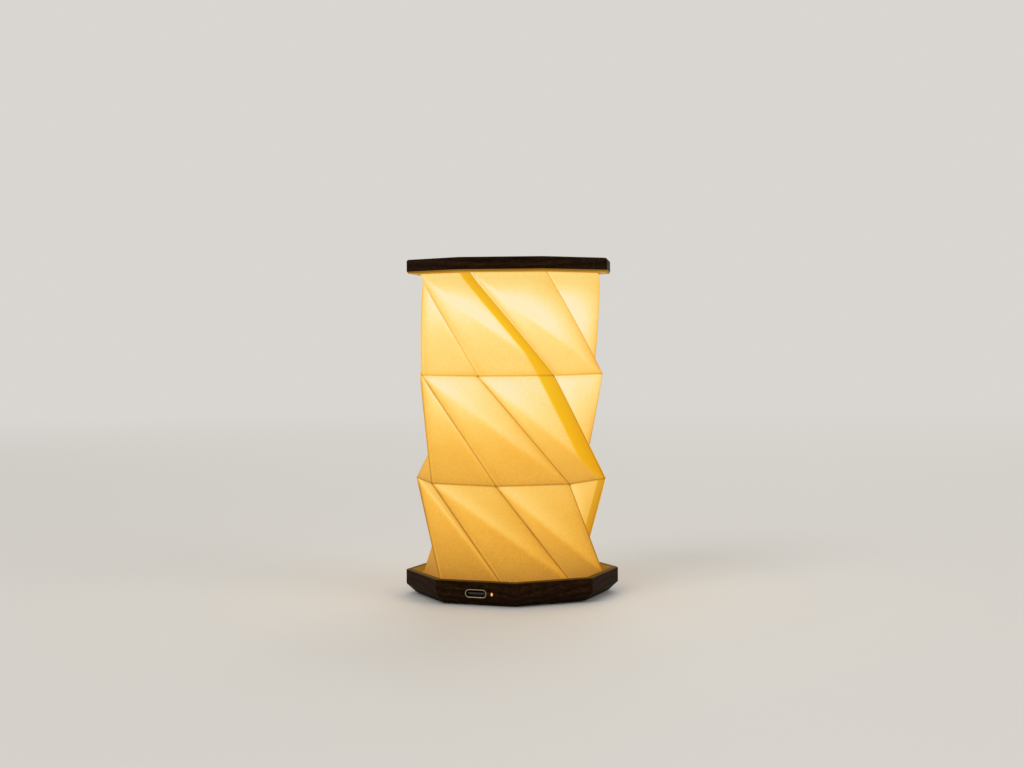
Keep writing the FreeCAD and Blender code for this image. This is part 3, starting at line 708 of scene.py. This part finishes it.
# Phosphor over the LED chips: egg-yolk yellow, glowing warm white when it is on.
phosphor = material_of("phosphor_in_silicone")
place = put(phosphor, "TexCoord").outputs["Object"]
grains = put(phosphor, "TexNoise", {"Vector": place, "Scale": 1 / 0.0003, "Detail": 2.0})
yolk = put(phosphor, "ValToRGB", {"Fac": grains.outputs["Fac"]}, stops=[(0.3, "#e8b64a"), (0.7, "#f4d27c")])
lit = put(phosphor, "BsdfPrincipled", {"Base Color": yolk, "Roughness": 0.35, "IOR": 1.41,
                                       "Emission Color": yolk, "Emission Strength": 1.5})
put(phosphor, "OutputMaterial", {"Surface": lit})
dress(phosphor, "light_emitters", "indicator_led")

# ---- studio ------------------------------------------------------------------------------------------
# A pale seamless floor, soft lamps all round and above, and a camera at table height
# in front of the lamp.
studio_white = linear("#d9d6d1")
floor_mesh = bpy.data.meshes.new("studio_floor")
spokes = 96
floor_mesh.from_pydata([(6 * math.cos(math.tau * i / spokes), 6 * math.sin(math.tau * i / spokes), 0)
                        for i in range(spokes)], [], [list(range(spokes))])
floor = bpy.data.objects.new("studio_floor", floor_mesh)
bpy.context.collection.objects.link(floor)
pale = material_of("pale_seamless_paper")
place = put(pale, "TexCoord").outputs["Object"]
far = put(pale, "VectorMath", {0: place}, operation="LENGTH").outputs["Value"]
fade = put(pale, "MapRange", {"Value": far, "From Min": 0.35, "From Max": 1.6},
           interpolation_type="SMOOTHSTEP")
rays = put(pale, "LightPath")
seen = put(pale, "Math", {0: rays.outputs["Is Camera Ray"], 1: rays.outputs["Is Glossy Ray"]},
           operation="MAXIMUM")
seen = put(pale, "Math", {0: seen, 1: rays.outputs["Is Transmission Ray"]}, operation="MAXIMUM")
fade = put(pale, "Math", {0: fade, 1: seen}, operation="MULTIPLY")
near_floor = put(pale, "BsdfPrincipled", {"Base Color": linear("#e6e3de"), "Roughness": 0.7})
far_floor = put(pale, "Emission", {"Color": studio_white, "Strength": 1.0})
ground = put(pale, "MixShader", {0: fade, 1: near_floor, 2: far_floor})
put(pale, "OutputMaterial", {"Surface": ground})
floor_mesh.materials.append(pale)

world = bpy.data.worlds.new("studio")
bpy.context.scene.world = world
world.use_nodes = True
world.node_tree.nodes.clear()
rays = put(world, "LightPath")
seen = put(world, "Math", {0: rays.outputs["Is Camera Ray"], 1: rays.outputs["Is Glossy Ray"]},
           operation="MAXIMUM")
seen = put(world, "Math", {0: seen, 1: rays.outputs["Is Transmission Ray"]}, operation="MAXIMUM")
soft_light = put(world, "Background", {"Color": linear("#f2f0ec"), "Strength": 0.55})
behind = put(world, "Background", {"Color": studio_white, "Strength": 1.0})
sky = put(world, "MixShader", {0: seen, 1: soft_light, 2: behind})
put(world, "OutputWorld", {"Surface": sky})

for name, spot, size, power in (("key_lamp", (-0.9, -1.1, 1.3), 0.9, 9.0),
                                ("fill_lamp", (1.2, -0.8, 0.8), 1.0, 4.0),
                                ("back_lamp", (0.3, 1.3, 1.2), 1.0, 5.0)):
    panel = bpy.data.lights.new(name, "AREA")
    panel.size = size
    panel.energy = power
    lamp_object = bpy.data.objects.new(name, panel)
    lamp_object.location = spot
    lamp_object.rotation_euler = (Vector((0, 0, 0.06)) - Vector(spot)).to_track_quat("-Z", "Y").to_euler()
    bpy.context.collection.objects.link(lamp_object)

camera_place = (0.0004, -0.7102, 0.1082)
looks_down, rolls = math.radians(1.864), math.radians(-0.418)
view = bpy.data.cameras.new("camera")
view.sensor_width = 36.0
view.lens = 61.34
camera = bpy.data.objects.new("camera", view)
camera.matrix_world = (Matrix.Translation(camera_place)
                       @ Matrix.Rotation(math.radians(90) - looks_down, 4, "X")
                       @ Matrix.Rotation(rolls, 4, "Z"))
bpy.context.collection.objects.link(camera)
bpy.context.scene.camera = camera
bpy.context.scene.view_settings.view_transform = "Standard"
